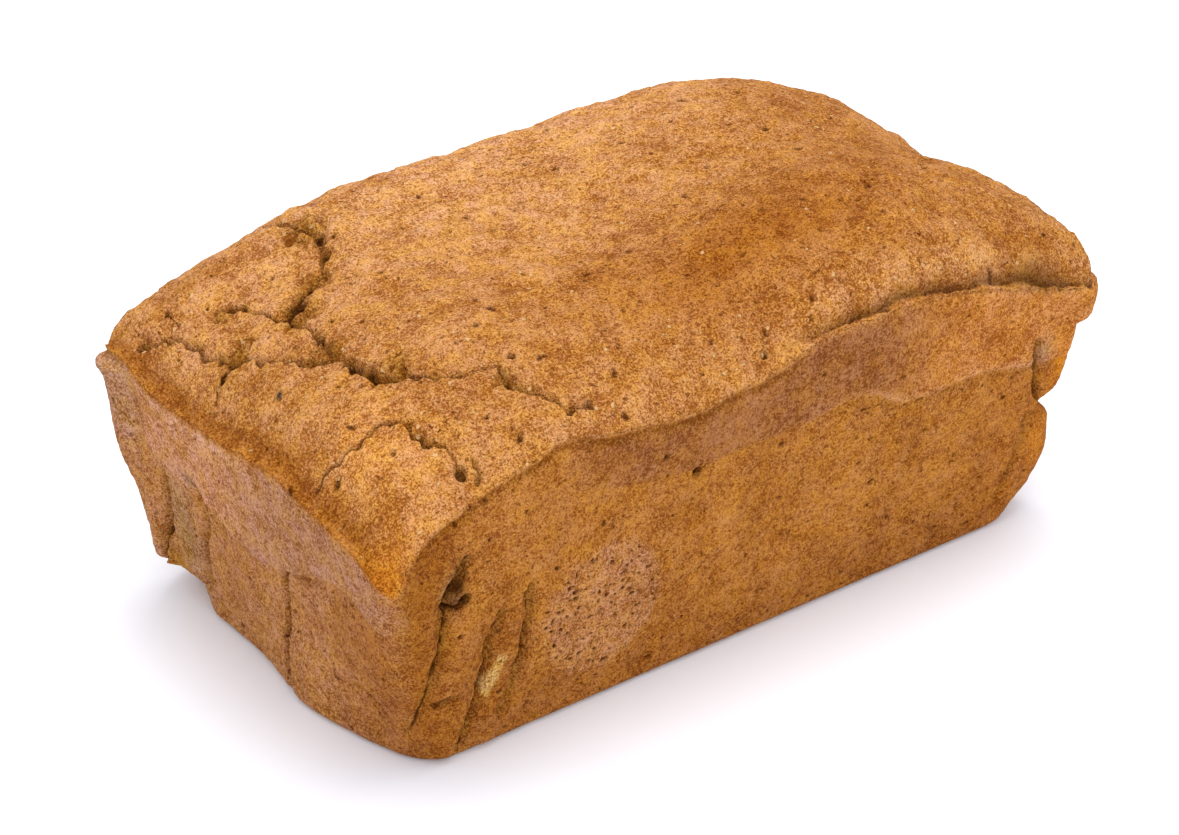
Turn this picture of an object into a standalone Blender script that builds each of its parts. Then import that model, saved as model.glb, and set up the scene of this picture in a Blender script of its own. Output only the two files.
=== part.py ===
"""A whole oat bread loaf, baked in a paper-lined tin and turned out, uncut.

The loaf is one closed body. Its walls lean out as the tin's did, up to an uneven rim where the lining
ended. A domed crust rises from the rim, with cracks where it burst in the oven. The lining left folds,
creases and torn places in the walls. X runs along the loaf, Y across it and Z up, and the origin is
under its middle. The near side faces -Y, the left end -X. Sizes below are in millimetres.
"""

import bmesh
import bpy
import numpy as np
from mathutils import Vector, noise

METRES = 0.001

# Driving sizes
RIM_LENGTH = 232.0
RIM_WIDTH = 133.0
BASE_LENGTH = 208.5
BASE_WIDTH = 115.6
RIM_LEVEL = 84.0
CROWN_RISE = 5.8
RIM_CORNER = 5.0
BASE_CORNER = 15.0
DRAFT_CURVE = 1.5
FOOT_ROUNDING = 2.5
MIDDLE_X = 0.95
MIDDLE_Y = -0.41

# Height of the rim along each wall: place along the wall, height
NEAR_RIM = [(-115, 63), (-104, 75), (-92, 80.5), (-76, 86), (-60, 88), (-44, 85), (-24, 82.5), (-6, 83),
            (10, 86), (24, 90), (40, 90), (66, 88.5), (82, 82.5), (98, 77.5), (115, 73)]
FAR_RIM = [(-115, 73), (-106, 79), (-95, 83), (-70, 89), (-40, 94), (0, 92.5), (40, 91), (70, 88), (95, 79),
           (115, 67)]
LEFT_RIM = [(-66.5, 63), (-54, 67.5), (-40, 70.5), (-22, 74), (0, 73), (20, 70.5), (45, 71.5), (56, 73.5),
            (66.5, 73)]
RIGHT_RIM = [(-66.5, 73), (-50, 83.5), (-30, 86.5), (0, 81), (16, 82.8), (30, 82), (50, 75.5), (66.5, 67)]

# How far in from each wall the crust goes on rising, and how quickly it levels off
NEAR_SHOULDER = 23.0
FAR_SHOULDER = 23.0
LEFT_SHOULDER = 40.0
RIGHT_SHOULDER = 25.0
SHOULDER_CURVE = 2.5

# How the squares are crowded towards the left end, where the cracks are
CROWDING = 0.24

# Cracks in the top crust: half width, depth, then the route in X and Y
TOP_CRACKS = [
    (2.2, 4.5, [(-110, 53), (-105, 41), (-103, 25), (-99, 12), (-95, 1), (-89, -9)]),
    (3.4, 4.0, [(-89, -9), (-89, -19), (-87, -26), (-84, -28)]),
    (2.6, 2.4, [(-88, -4), (-87, 8), (-86, 19), (-79, 24), (-71, 26)]),
    (3.0, 2.8, [(-71, 26), (-66, 34), (-61, 43), (-64, 52), (-67, 62)]),
    (1.6, 1.6, [(-96, 41), (-90, 35), (-89, 26), (-87, 19)]),
    (1.2, 1.8, [(-102, 53), (-103, 46)]),
    (1.8, 2.2, [(-84, -28), (-79, -36), (-73, -40), (-66, -44)]),
    (1.8, 3.6, [(-66, -44), (-67, -51), (-61, -56), (-58, -61), (-51, -61)]),
    (1.3, 2.0, [(-112, -31), (-103, -36), (-95, -36), (-92, -41)]),
    (2.2, 3.0, [(-92, -41), (-92, -49), (-89, -54), (-89, -60)]),
    (1.4, 2.6, [(-85, -59), (-86, -64)]),
    (1.3, 1.4, [(-101, 18), (-106, 21), (-110, 17)]),
]

# The widest cracks have raised lips: how many cracks, height, distance in half widths, reach
LIPPED_CRACKS = 4
LIP_RISE = 0.5
LIP_DISTANCE = 2.2
LIP_REACH = 2.4

# Holes in the top crust: X, Y, radius, depth. Their floor is level over this share of the radius
HOLE_FLOOR = 0.35
TOP_HOLES = [(82, -10, 2.0, 2.4), (61, -6, 1.5, 1.5), (62, 9, 1.6, 1.5), (86, -27, 1.5, 1.2),
             (4, -63, 1.4, 1.6), (-82, 21, 3.2, 2.0), (-89, -60, 2.2, 2.5), (-61, -43, 1.6, 1.6)]

# Along the near rim: height, distance in from the wall, reach, where it starts and is full along X
RIM_GROOVE = (-2.2, 1.4, 1.6, 8, 24)
RIM_BULGE = (1.6, 8.0, 5.0, 10, 40)

# Creases and tears in the near side: half width, depth, then the route in X and Z
NEAR_FOLDS = [
    (2.6, 5.0, [(-91, 64), (-94, 59), (-97, 52)]),
    (3.4, 2.6, [(-97, 52), (-97, 37), (-101, 23), (-104, 10)]),
    (2.8, 2.6, [(-79, 42), (-82, 36), (-83, 27), (-86, 14), (-90, 2)]),
    (3.2, 3.0, [(-70, 46), (-70, 38), (-71, 26), (-74, 17), (-77, 10)]),
    (1.6, 3.0, [(-98, 21), (-94, 22)]),
    (2.0, 2.6, [(97, 61), (98, 52), (100, 41)]),
    (2.2, 2.2, [(98, 36), (96, 22), (92, 12)]),
]
NEAR_HOLES = [(-91, 52, 2.4, 4.0), (-30, 72, 1.4, 1.6), (-19, 63, 2.0, 2.2), (-70, 48, 2.4, 1.2),
              (104, 36.5, 5.0, 4.0)]
NEAR_BAND_START = (-70, -40)
NEAR_BAND_EDGE = [(-60, 72), (-22, 65), (15, 65), (40, 65), (48, 60), (77, 58), (96, 54), (112, 52)]
SKIN_PATCH = (-47, 31, 20, 22)
SKIN_PATCH_EDGE = (0.85, 1.0)
FLAKE = [(-79, 28), (-83, 19)]
FLAKE_STEP = 1.6
FLAKE_EDGE = (1.2, 2.4)

# Pleats between the folds: height, X at their level, slant, reach, and the heights where they fade out
PLEAT_LEVEL = 30
NEAR_PLEATS = [(1.2, -91.0, 0.12, 4.0, 40, 55), (1.0, -76.5, 0.15, 3.0, 38, 50)]

# Creases in the left end: half width, depth, then the route in Y and Z
LEFT_FOLDS = [
    (2.0, 2.6, [(-15, 44), (-12, 33), (-11, 24)]),
    (2.4, 4.0, [(-11, 24), (-9, 12), (-9, 1)]),
    (1.2, 1.0, [(-15, 43), (-34, 49)]),
    (1.4, 1.8, [(-43, 20), (-49, 16)]),
    (2.0, 3.0, [(43, 45), (45, 30), (49, 18), (51, 6)]),
    (3.0, 2.4, [(25, 47), (25, 36), (29, 27), (33, 12)]),
]
LEFT_BAND_EDGE = [(-60, 47), (-43, 53), (-15, 43), (-3, 40), (24, 45), (38, 44), (47, 52), (50, 70)]
LEFT_BAND_END = (46, 52)

# At the far edge of the left end a flap stands out: how far, where across the end, and at which heights it
# begins and fades. Towards its foot it spreads more.
FLAP = 3.4
FLAP_ACROSS = (45, 51)
FLAP_FOOT = (9.5, 11)
FLAP_FADE = (30, 62)
FLAP_SPREAD = (0.4, 12, 22)

# Over the flap a strip stands out, with a lip at its top, up to the ledge where the crust begins
STRIP = 3.2
STRIP_ACROSS = (50, 58)
STRIP_START = (30, 50)
STRIP_LIP = 1.4
STRIP_LIP_ACROSS = (57, 64)
STRIP_LIP_START = (66, 69)
LEDGE = (70.3, 71.8)

# How far each place of the torn near corner of the right end stands out, and its heights
TORN_CORNER_END = (-56, -40)
CORNER_LIP = 5.6
CORNER_LIP_START = (61.2, 62.4)
CORNER_LIP_EASE = (0.65, 70.5, 74)
CORNER_TEAR = 0.5
CORNER_TEAR_START = (38, 42)
CORNER_TEAR_FADE = (57, 61)
CORNER_NOTCH = (-14.0, 36.3, 3.2)
CORNER_SWELL = (6.4, 16, 13)

# How the feet of the ends swell or draw in
LEFT_SWELL = (4.4, -17, 17)
LEFT_FOOT_FADE = (8, 34)
LEFT_NEAR_DRAW = -1.8
LEFT_NEAR_CORNER = (-48, -36)
LEFT_FAR_DRAW = -6.0
LEFT_FAR_CORNER = (30, 50)
RIGHT_DRAW = -6.5
RIGHT_DRAW_HEIGHT = 9
RIGHT_DRAW_CURVE = 1.6
RIGHT_DRAW_EASE = 0.65
RIGHT_DRAW_ACROSS = (-45, 10)

# How far the crust's creases wander from their routes, and how much less the walls' do
WANDER = [(0.7, 1.7), (0.4, 0.75)]
WALL_WANDER = 0.35

# How far the bands under the rim and the smooth skin patch stand out, and how soft the bands' edges are
BAND_STEP = 0.9
BAND_EDGE = (-1.1, 1.1)
PATCH_STEP = 0.6

# General unevenness: wavelength, height, seed
LUMPS = [(34.0, 1.3, 5), (13.0, 0.45, 11)]
WALL_LUMPS = [(30.0, 0.9, 23), (11.0, 0.35, 31)]
WALL_SPACE = (80, 50, 35)

# How far a wall's relief reaches over the crust and under the foot, and how the crust's reaches down a wall
TOP_FADE = 6.0
BOTTOM_FADE = 25.0
CRUST_CARRY = 14

# The heights in which relief and unevenness begin above the foot
RELIEF_START = (0.0, 3.0)
LUMPS_START = (0.0, 6.0)

CUTS = 159
TRIANGLES = 11400
CRUST = {"Base Color": (0.42, 0.205, 0.062, 1.0), "Roughness": 0.78, "Metallic": 0.0}


def ramp(value, start, end):
    """0 up to start and 1 from end on, smooth between them."""
    share = np.clip((value - start) / (end - start), 0.0, 1.0)
    return share * share * (3.0 - 2.0 * share)


def along(knots, place):
    """A smooth curve through the knots, read at each place."""
    at, level = np.array(knots, float).T
    slope = np.gradient(level, at)
    place = np.clip(place, at[0], at[-1])
    first = np.clip(np.searchsorted(at, place) - 1, 0, len(at) - 2)
    gap = at[first + 1] - at[first]
    share = (place - at[first]) / gap
    eased = share * share * (3.0 - 2.0 * share)
    leaving = share * (1.0 - share) ** 2 * gap * slope[first]
    arriving = share**2 * (share - 1.0) * gap * slope[first + 1]
    return level[first] * (1.0 - eased) + level[first + 1] * eased + leaving + arriving


def mound(value, middle, reach):
    """1 at the middle, falling smoothly to nothing about two reaches away."""
    return np.exp(-(((value - middle) / reach) ** 2))


def distance_to(route, across, up):
    """Distance from each place to the nearest stretch of a route."""
    nearest = np.full(across.shape, 1e9)
    for (x1, y1), (x2, y2) in zip(route, route[1:]):
        run = np.array((x2 - x1, y2 - y1), float)
        share = ((across - x1) * run[0] + (up - y1) * run[1]) / (run @ run)
        share = np.clip(share, 0.0, 1.0)
        gap = np.hypot(across - x1 - share * run[0], up - y1 - share * run[1])
        nearest = np.minimum(nearest, gap)
    return nearest


def grooves(folds, across, up, wander=1.0):
    """Depth of the deepest groove at each place. The grooves wander a little, as crust tears."""
    (broad, wave), (small, ripple) = WANDER
    aside = broad * np.sin(up / wave) + small * np.sin(up / ripple + across / 3)
    upward = broad * np.sin(across / wave + 1) + small * np.sin(across / ripple - up / 3)
    depth = np.zeros(across.shape)
    for half_width, deepest, route in folds:
        gap = distance_to(route, across + wander * aside, up + wander * upward)
        depth = np.maximum(depth, deepest * (1.0 - ramp(gap, 0.0, half_width)))
    return depth


def holes(places, across, up):
    """Depth of the holes at each place."""
    depth = np.zeros(across.shape)
    for at, height, radius, deepest in places:
        gap = np.hypot(across - at, up - height)
        depth = np.maximum(depth, deepest * (1.0 - ramp(gap, HOLE_FLOOR * radius, radius)))
    return depth


def lumps(layers, points):
    """Smooth unevenness: each layer has a wavelength, a height and a seed."""
    height = np.zeros(len(points))
    for wavelength, most, seed in layers:
        shift = Vector((seed * 7.3, seed * 3.1, seed * 5.7))
        height += most * np.array([noise.noise(Vector(p) / wavelength + shift) for p in points])
    return height


def crowd(s):
    """Draws the places along X towards the left end, where the cracks are."""
    return s - CROWDING * (1 - s * s)


def rim_height(s, t):
    """Height of the rims carried across the loaf: s and t run from -1 to 1 along X and Y."""
    x = s * RIM_LENGTH / 2
    y = t * RIM_WIDTH / 2
    u = (s + 1) / 2
    v = (t + 1) / 2
    near_left = NEAR_RIM[0][1]
    near_right = NEAR_RIM[-1][1]
    far_left = FAR_RIM[0][1]
    far_right = FAR_RIM[-1][1]
    lengthwise = along(NEAR_RIM, x) * (1 - v) + along(FAR_RIM, x) * v
    crosswise = along(LEFT_RIM, y) * (1 - u) + along(RIGHT_RIM, y) * u
    corners = (near_left * (1 - u) + near_right * u) * (1 - v) + (far_left * (1 - u) + far_right * u) * v
    return lengthwise + crosswise - corners


def shoulder(distance, reach):
    """0 at a wall, rising to 1 at its reach."""
    return 1.0 - (1.0 - np.clip(distance / reach, 0.0, 1.0)) ** SHOULDER_CURVE


def crust_height(s, t):
    """Height of the domed top crust before its cracks."""
    x = s * RIM_LENGTH / 2
    y = t * RIM_WIDTH / 2
    dome = shoulder(y + RIM_WIDTH / 2, NEAR_SHOULDER) * shoulder(RIM_WIDTH / 2 - y, FAR_SHOULDER)
    dome *= shoulder(x + RIM_LENGTH / 2, LEFT_SHOULDER) * shoulder(RIM_LENGTH / 2 - x, RIGHT_SHOULDER)
    return rim_height(s, t) + CROWN_RISE * dome


def plan(s, t, height):
    """X and Y of a place in the tin's plan at this height, and the direction that faces out there."""
    lean = np.clip(1.0 - height / RIM_LEVEL, 0.0, 1.0) ** DRAFT_CURVE
    half_length = (RIM_LENGTH - (RIM_LENGTH - BASE_LENGTH) * lean) / 2
    half_width = (RIM_WIDTH - (RIM_WIDTH - BASE_WIDTH) * lean) / 2
    corner = RIM_CORNER + (BASE_CORNER - RIM_CORNER) * lean
    x = half_length * s
    y = half_width * t
    over_x = np.maximum(np.abs(x) - (half_length - corner), 0.0)
    over_y = np.maximum(np.abs(y) - (half_width - corner), 0.0)
    round_x = over_x * np.sqrt(1.0 - (over_y / corner) ** 2 / 2)
    round_y = over_y * np.sqrt(1.0 - (over_x / corner) ** 2 / 2)
    out_x = np.where(np.abs(s) > 0.9999, np.maximum(round_x, 1e-6), round_x * (round_y > 0))
    out_y = np.where(np.abs(t) > 0.9999, np.maximum(round_y, 1e-6), round_y * (round_x > 0))
    size = np.maximum(np.hypot(out_x, out_y), 1e-9)
    x += np.sign(x) * (round_x - over_x)
    y += np.sign(y) * (round_y - over_y)
    return x, y, np.sign(s) * out_x / size, np.sign(t) * out_y / size


def along_near_rim(x, y, form):
    """A ridge or a groove that follows the near rim towards the right."""
    height, from_wall, reach, start, full = form
    return height * mound(y + RIM_WIDTH / 2, from_wall, reach) * ramp(x, start, full)


def top_relief(x, y):
    """How far the crust stands above its plain form: less than nothing in its cracks and holes."""
    drop = np.maximum(grooves(TOP_CRACKS, x, y), holes(TOP_HOLES, x, y))
    beside = np.zeros(x.shape)
    for half_width, _, route in TOP_CRACKS[:LIPPED_CRACKS]:
        beside += mound(distance_to(route, x, y), LIP_DISTANCE * half_width, LIP_REACH)
    lips = LIP_RISE * np.minimum(beside, 1.0)
    return along_near_rim(x, y, RIM_GROOVE) + along_near_rim(x, y, RIM_BULGE) + lips - drop


def near_band(x, z):
    """1 on the band under the near rim."""
    return ramp(z - along(NEAR_BAND_EDGE, x), *BAND_EDGE) * ramp(x, *NEAR_BAND_START)


def skin_patch(x, z):
    """1 on the round patch of smooth skin of the near side."""
    at_x, at_z, reach_x, reach_z = SKIN_PATCH
    return 1.0 - ramp(np.hypot((x - at_x) / reach_x, (z - at_z) / reach_z), *SKIN_PATCH_EDGE)


def near_relief(x, z):
    """How far the near side stands out, less than nothing in its folds."""
    pleats = np.zeros(x.shape)
    for height, at, slant, reach, fade_start, fade_end in NEAR_PLEATS:
        leaning = at - slant * (PLEAT_LEVEL - z)
        pleats += height * mound(x, leaning, reach) * (1 - ramp(z, fade_start, fade_end))
    depth = np.maximum(grooves(NEAR_FOLDS, x, z, WALL_WANDER), holes(NEAR_HOLES, x, z))
    depth = np.maximum(depth - FLAKE_STEP * (1.0 - ramp(distance_to(FLAKE, x, z), *FLAKE_EDGE)), 0.0)
    return BAND_STEP * near_band(x, z) + PATCH_STEP * skin_patch(x, z) + pleats - depth


def left_band(y, z):
    """1 on the band under the rim of the left end."""
    return ramp(z - along(LEFT_BAND_EDGE, y), *BAND_EDGE) * (1 - ramp(y, *LEFT_BAND_END))


def left_relief(y, z):
    """How far the left end stands out."""
    spread, spread_start, spread_end = FLAP_SPREAD
    flap = FLAP * ramp(y, *FLAP_ACROSS) * ramp(z, *FLAP_FOOT) * (1 - ramp(z, *FLAP_FADE))
    flap *= 1 + spread * (1 - ramp(z, spread_start, spread_end))
    strip = STRIP * ramp(y, *STRIP_ACROSS) * ramp(z, *STRIP_START)
    strip += STRIP_LIP * ramp(y, *STRIP_LIP_ACROSS) * ramp(z, *STRIP_LIP_START)
    ledge = 1 - ramp(z, *LEDGE)
    return BAND_STEP * left_band(y, z) + flap + strip * ledge - grooves(LEFT_FOLDS, y, z, WALL_WANDER)


def right_relief(y, z):
    """How far the right end stands out: its near corner is torn."""
    ease, ease_start, ease_end = CORNER_LIP_EASE
    lip = CORNER_LIP * ramp(z, *CORNER_LIP_START) * (1 - ease * ramp(z, ease_start, ease_end))
    torn = CORNER_TEAR * ramp(z, *CORNER_TEAR_START) * (1 - ramp(z, *CORNER_TEAR_FADE))
    notch_depth, notch_level, notch_reach = CORNER_NOTCH
    swell_height, swell_level, swell_reach = CORNER_SWELL
    notch = notch_depth * mound(z, notch_level, notch_reach)
    swell = swell_height * mound(z, swell_level, swell_reach)
    return (1 - ramp(y, *TORN_CORNER_END)) * (lip + torn + notch + swell)


def left_foot(y, z):
    """How far the foot of the left end swells, and draws in at its corners."""
    height, at, reach = LEFT_SWELL
    near_draw = LEFT_NEAR_DRAW * (1 - ramp(y, *LEFT_NEAR_CORNER))
    swell = (height * mound(y, at, reach) + near_draw) * (1 - ramp(z, *LEFT_FOOT_FADE))
    return swell + LEFT_FAR_DRAW * ramp(y, *LEFT_FAR_CORNER) * (1 - ramp(z, *FLAP_FOOT))


def right_foot(y, z):
    """How far the foot of the right end draws in, most at its near corner."""
    low = np.clip(1 - z / RIGHT_DRAW_HEIGHT, 0, 1) ** RIGHT_DRAW_CURVE
    return RIGHT_DRAW * low * (1 - RIGHT_DRAW_EASE * ramp(y, *RIGHT_DRAW_ACROSS))


def wall_relief(x, y, z, out_x, out_y):
    """How far a wall stands out from the tin's plain form."""
    near_share = np.where(out_y < 0, out_y**2, 0.0)
    left_share = np.where(out_x < 0, out_x**2, 0.0)
    right_share = np.where(out_x > 0, out_x**2, 0.0)
    feet = left_foot(y, z) * left_share + right_foot(y, z) * right_share
    relief = near_relief(x, z) * near_share + left_relief(y, z) * left_share
    relief += right_relief(y, z) * right_share
    return feet + relief * ramp(z, *RELIEF_START)


def loaf_points(cube):
    """Moves the points of a cube, from -1 to 1 each way, onto the loaf."""
    s, t, w = cube.T
    s = crowd(s)
    from_edge = np.minimum((1 - np.abs(s)) * RIM_LENGTH / 2, (1 - np.abs(t)) * RIM_WIDTH / 2)
    rim = rim_height(s, t)
    share = (w + 1) / 2
    is_top = w > 0.9999
    z = np.where(is_top, crust_height(s, t), rim * share)
    x, y, _, _ = plan(s, t, z)
    edge_s = np.where(from_edge == (1 - np.abs(s)) * RIM_LENGTH / 2, np.sign(s), s)
    edge_t = np.where(from_edge == (1 - np.abs(t)) * RIM_WIDTH / 2, np.sign(t), t)
    _, _, out_x, out_y = plan(edge_s, edge_t, z)
    fade = mound(from_edge, 0.0, np.where(is_top, TOP_FADE, BOTTOM_FADE))
    relief = wall_relief(x, y, np.where(is_top, rim, z), out_x, out_y) * fade
    relief += lumps(WALL_LUMPS, cube * WALL_SPACE) * fade * ramp(z, *LUMPS_START)
    foot = np.clip(1 - z / FOOT_ROUNDING, 0, 1)
    relief -= FOOT_ROUNDING * (1 - np.sqrt(1 - foot**2)) * fade
    x += out_x * relief
    y += out_y * relief
    crust = lumps(LUMPS, np.stack((x, y, 0 * x), 1)) + top_relief(x, y)
    z += crust * np.where(is_top, 1.0, share**CRUST_CARRY)
    return np.stack((x - MIDDLE_X, y - MIDDLE_Y, np.where(w < -0.9999, 0.0, z)), 1)


def closed_mesh():
    """A cube of small squares moved onto the loaf, its flat bottom left plain."""
    shape = bmesh.new()
    bmesh.ops.create_cube(shape, size=2.0)
    bmesh.ops.subdivide_edges(shape, edges=shape.edges[:], cuts=CUTS, use_grid_fill=True)
    cube = np.array([vertex.co for vertex in shape.verts])
    for vertex, place in zip(shape.verts, loaf_points(cube) * METRES):
        vertex.co = place
    bmesh.ops.triangulate(shape, faces=shape.faces[:])
    bmesh.ops.recalc_face_normals(shape, faces=shape.faces[:])
    mesh = bpy.data.meshes.new("loaf")
    shape.to_mesh(mesh)
    shape.free()
    return mesh


def thin_out(loaf):
    """Keeps small faces for the cracks and folds, and large ones elsewhere."""
    modifier = loaf.modifiers.new("Thin out", "DECIMATE")
    modifier.ratio = TRIANGLES / len(loaf.data.polygons)
    bpy.context.view_layer.objects.active = loaf
    bpy.ops.object.modifier_apply(modifier=modifier.name)


def flatten_bottom(mesh):
    """Sets the resting face exactly flat, as one face."""
    shape = bmesh.new()
    shape.from_mesh(mesh)
    for vertex in shape.verts:
        if vertex.co.z < 0.05 * METRES:
            vertex.co.z = 0.0
    resting = [face for face in shape.faces if all(vertex.co.z == 0.0 for vertex in face.verts)]
    bmesh.ops.dissolve_faces(shape, faces=resting)
    shape.to_mesh(mesh)
    shape.free()


def crust_material():
    material = bpy.data.materials.new("crust")
    material.use_nodes = True
    shader = material.node_tree.nodes["Principled BSDF"]
    for socket, value in CRUST.items():
        shader.inputs[socket].default_value = value
    return material


def build_loaf():
    loaf = bpy.data.objects.new("loaf", closed_mesh())
    bpy.context.scene.collection.objects.link(loaf)
    thin_out(loaf)
    flatten_bottom(loaf.data)
    loaf.data.materials.append(crust_material())
    loaf.data.shade_smooth()
    return loaf


def clear_scene():
    for obj in list(bpy.data.objects):
        bpy.data.objects.remove(obj)


clear_scene()
build_loaf()
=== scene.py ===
import math
from itertools import product

import bpy
import numpy as np
from mathutils import Matrix, Vector, noise


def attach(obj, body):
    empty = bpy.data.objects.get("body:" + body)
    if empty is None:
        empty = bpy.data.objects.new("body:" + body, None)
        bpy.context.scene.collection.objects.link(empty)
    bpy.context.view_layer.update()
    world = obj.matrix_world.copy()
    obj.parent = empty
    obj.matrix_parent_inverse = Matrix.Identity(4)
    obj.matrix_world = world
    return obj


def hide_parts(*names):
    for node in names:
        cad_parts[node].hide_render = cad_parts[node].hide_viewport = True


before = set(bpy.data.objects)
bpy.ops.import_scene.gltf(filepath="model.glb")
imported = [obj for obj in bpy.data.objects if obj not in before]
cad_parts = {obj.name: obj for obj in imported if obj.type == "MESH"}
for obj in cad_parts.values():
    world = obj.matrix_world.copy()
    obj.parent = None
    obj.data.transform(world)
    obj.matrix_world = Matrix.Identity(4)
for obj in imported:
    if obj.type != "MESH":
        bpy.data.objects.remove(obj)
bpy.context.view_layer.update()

METRES = 0.001

# The view: where the photograph was taken from, in degrees, metres and pixels
AZIMUTH = -36.95
ELEVATION = 31.29
DISTANCE = 1.1766
AIM = Vector((-0.00565, -0.0001, 0.04245))
FOCAL_PIXELS = 4378.0
PHOTO_WIDTH = 1179.0
SENSOR = 36.0

# The loaf's driving sizes in millimetres, as the solid has them
RIM_LENGTH = 232.0
RIM_WIDTH = 133.0
BASE_LENGTH = 208.5
BASE_WIDTH = 115.6
RIM_LEVEL = 84.0
CROWN_RISE = 5.8
RIM_CORNER = 5.0
BASE_CORNER = 15.0
DRAFT_CURVE = 1.5
FOOT_ROUNDING = 2.5
MIDDLE_X = 0.95
MIDDLE_Y = -0.41

# The loaf begins as a cube from -1 to 1: from here on a place counts as lying on one of its faces
ON_FACE = 0.9999

# Height of the rim along each wall: place along the wall, height
NEAR_RIM = [(-115, 63), (-104, 75), (-92, 80.5), (-76, 86), (-60, 88), (-44, 85), (-24, 82.5), (-6, 83),
            (10, 86), (24, 90), (40, 90), (66, 88.5), (82, 82.5), (98, 77.5), (115, 73)]
FAR_RIM = [(-115, 73), (-106, 79), (-95, 83), (-70, 89), (-40, 94), (0, 92.5), (40, 91), (70, 88), (95, 79),
           (115, 67)]
LEFT_RIM = [(-66.5, 63), (-54, 67.5), (-40, 70.5), (-22, 74), (0, 73), (20, 70.5), (45, 71.5), (56, 73.5),
            (66.5, 73)]
RIGHT_RIM = [(-66.5, 73), (-50, 83.5), (-30, 86.5), (0, 81), (16, 82.8), (30, 82), (50, 75.5), (66.5, 67)]

# How far in from each wall the crust goes on rising, and how quickly it levels off
NEAR_SHOULDER = 23.0
FAR_SHOULDER = 23.0
LEFT_SHOULDER = 40.0
RIGHT_SHOULDER = 25.0
SHOULDER_CURVE = 2.5

# How the squares are crowded towards the left end, where the cracks are
CROWDING = 0.24

# Cracks in the top crust: half width, depth, then the route in X and Y
TOP_CRACKS = [
    (2.2, 4.5, [(-110, 53), (-105, 41), (-103, 25), (-99, 12), (-95, 1), (-89, -9)]),
    (3.4, 4.0, [(-89, -9), (-89, -19), (-87, -26), (-84, -28)]),
    (2.6, 2.4, [(-88, -4), (-87, 8), (-86, 19), (-79, 24), (-71, 26)]),
    (3.0, 2.8, [(-71, 26), (-66, 34), (-61, 43), (-64, 52), (-67, 62)]),
    (1.6, 1.6, [(-96, 41), (-90, 35), (-89, 26), (-87, 19)]),
    (1.2, 1.8, [(-102, 53), (-103, 46)]),
    (1.8, 2.2, [(-84, -28), (-79, -36), (-73, -40), (-66, -44)]),
    (1.8, 3.6, [(-66, -44), (-67, -51), (-61, -56), (-58, -61), (-51, -61)]),
    (1.3, 2.0, [(-112, -31), (-103, -36), (-95, -36), (-92, -41)]),
    (2.2, 3.0, [(-92, -41), (-92, -49), (-89, -54), (-89, -60)]),
    (1.4, 2.6, [(-85, -59), (-86, -64)]),
    (1.3, 1.4, [(-101, 18), (-106, 21), (-110, 17)]),
]

# The widest cracks have raised lips: how many cracks, height, distance in half widths, reach
LIPPED_CRACKS = 4
LIP_RISE = 0.5
LIP_DISTANCE = 2.2
LIP_REACH = 2.4

# Holes in the top crust: X, Y, radius, depth. Their floor is level over this share of the radius
HOLE_FLOOR = 0.35
TOP_HOLES = [(82, -10, 2.0, 2.4), (61, -6, 1.5, 1.5), (62, 9, 1.6, 1.5), (86, -27, 1.5, 1.2),
             (4, -63, 1.4, 1.6), (-82, 21, 3.2, 2.0), (-89, -60, 2.2, 2.5), (-61, -43, 1.6, 1.6)]

# Along the near rim: height, distance in from the wall, reach, where it starts and is full along X
RIM_GROOVE = (-2.2, 1.4, 1.6, 8, 24)
RIM_BULGE = (1.6, 8.0, 5.0, 10, 40)

# Creases and tears in the near side: half width, depth, then the route in X and Z
NEAR_FOLDS = [
    (2.6, 5.0, [(-91, 64), (-94, 59), (-97, 52)]),
    (3.4, 2.6, [(-97, 52), (-97, 37), (-101, 23), (-104, 10)]),
    (2.8, 2.6, [(-79, 42), (-82, 36), (-83, 27), (-86, 14), (-90, 2)]),
    (3.2, 3.0, [(-70, 46), (-70, 38), (-71, 26), (-74, 17), (-77, 10)]),
    (1.6, 3.0, [(-98, 21), (-94, 22)]),
    (2.0, 2.6, [(97, 61), (98, 52), (100, 41)]),
    (2.2, 2.2, [(98, 36), (96, 22), (92, 12)]),
]
NEAR_HOLES = [(-91, 52, 2.4, 4.0), (-30, 72, 1.4, 1.6), (-19, 63, 2.0, 2.2), (-70, 48, 2.4, 1.2),
              (104, 36.5, 5.0, 4.0)]
NEAR_BAND_START = (-70, -40)
NEAR_BAND_EDGE = [(-60, 72), (-22, 65), (15, 65), (40, 65), (48, 60), (77, 58), (96, 54), (112, 52)]
SKIN_PATCH = (-47, 31, 20, 22)
SKIN_PATCH_EDGE = (0.85, 1.0)
FLAKE = [(-79, 28), (-83, 19)]
FLAKE_STEP = 1.6
FLAKE_EDGE = (1.2, 2.4)

# Pleats between the folds: height, X at their level, slant, reach, and the heights where they fade out
PLEAT_LEVEL = 30
NEAR_PLEATS = [(1.2, -91.0, 0.12, 4.0, 40, 55), (1.0, -76.5, 0.15, 3.0, 38, 50)]

# Creases in the left end: half width, depth, then the route in Y and Z
LEFT_FOLDS = [
    (2.0, 2.6, [(-15, 44), (-12, 33), (-11, 24)]),
    (2.4, 4.0, [(-11, 24), (-9, 12), (-9, 1)]),
    (1.2, 1.0, [(-15, 43), (-34, 49)]),
    (1.4, 1.8, [(-43, 20), (-49, 16)]),
    (2.0, 3.0, [(43, 45), (45, 30), (49, 18), (51, 6)]),
    (3.0, 2.4, [(25, 47), (25, 36), (29, 27), (33, 12)]),
]
LEFT_BAND_EDGE = [(-60, 47), (-43, 53), (-15, 43), (-3, 40), (24, 45), (38, 44), (47, 52), (50, 70)]
LEFT_BAND_END = (46, 52)

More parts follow.
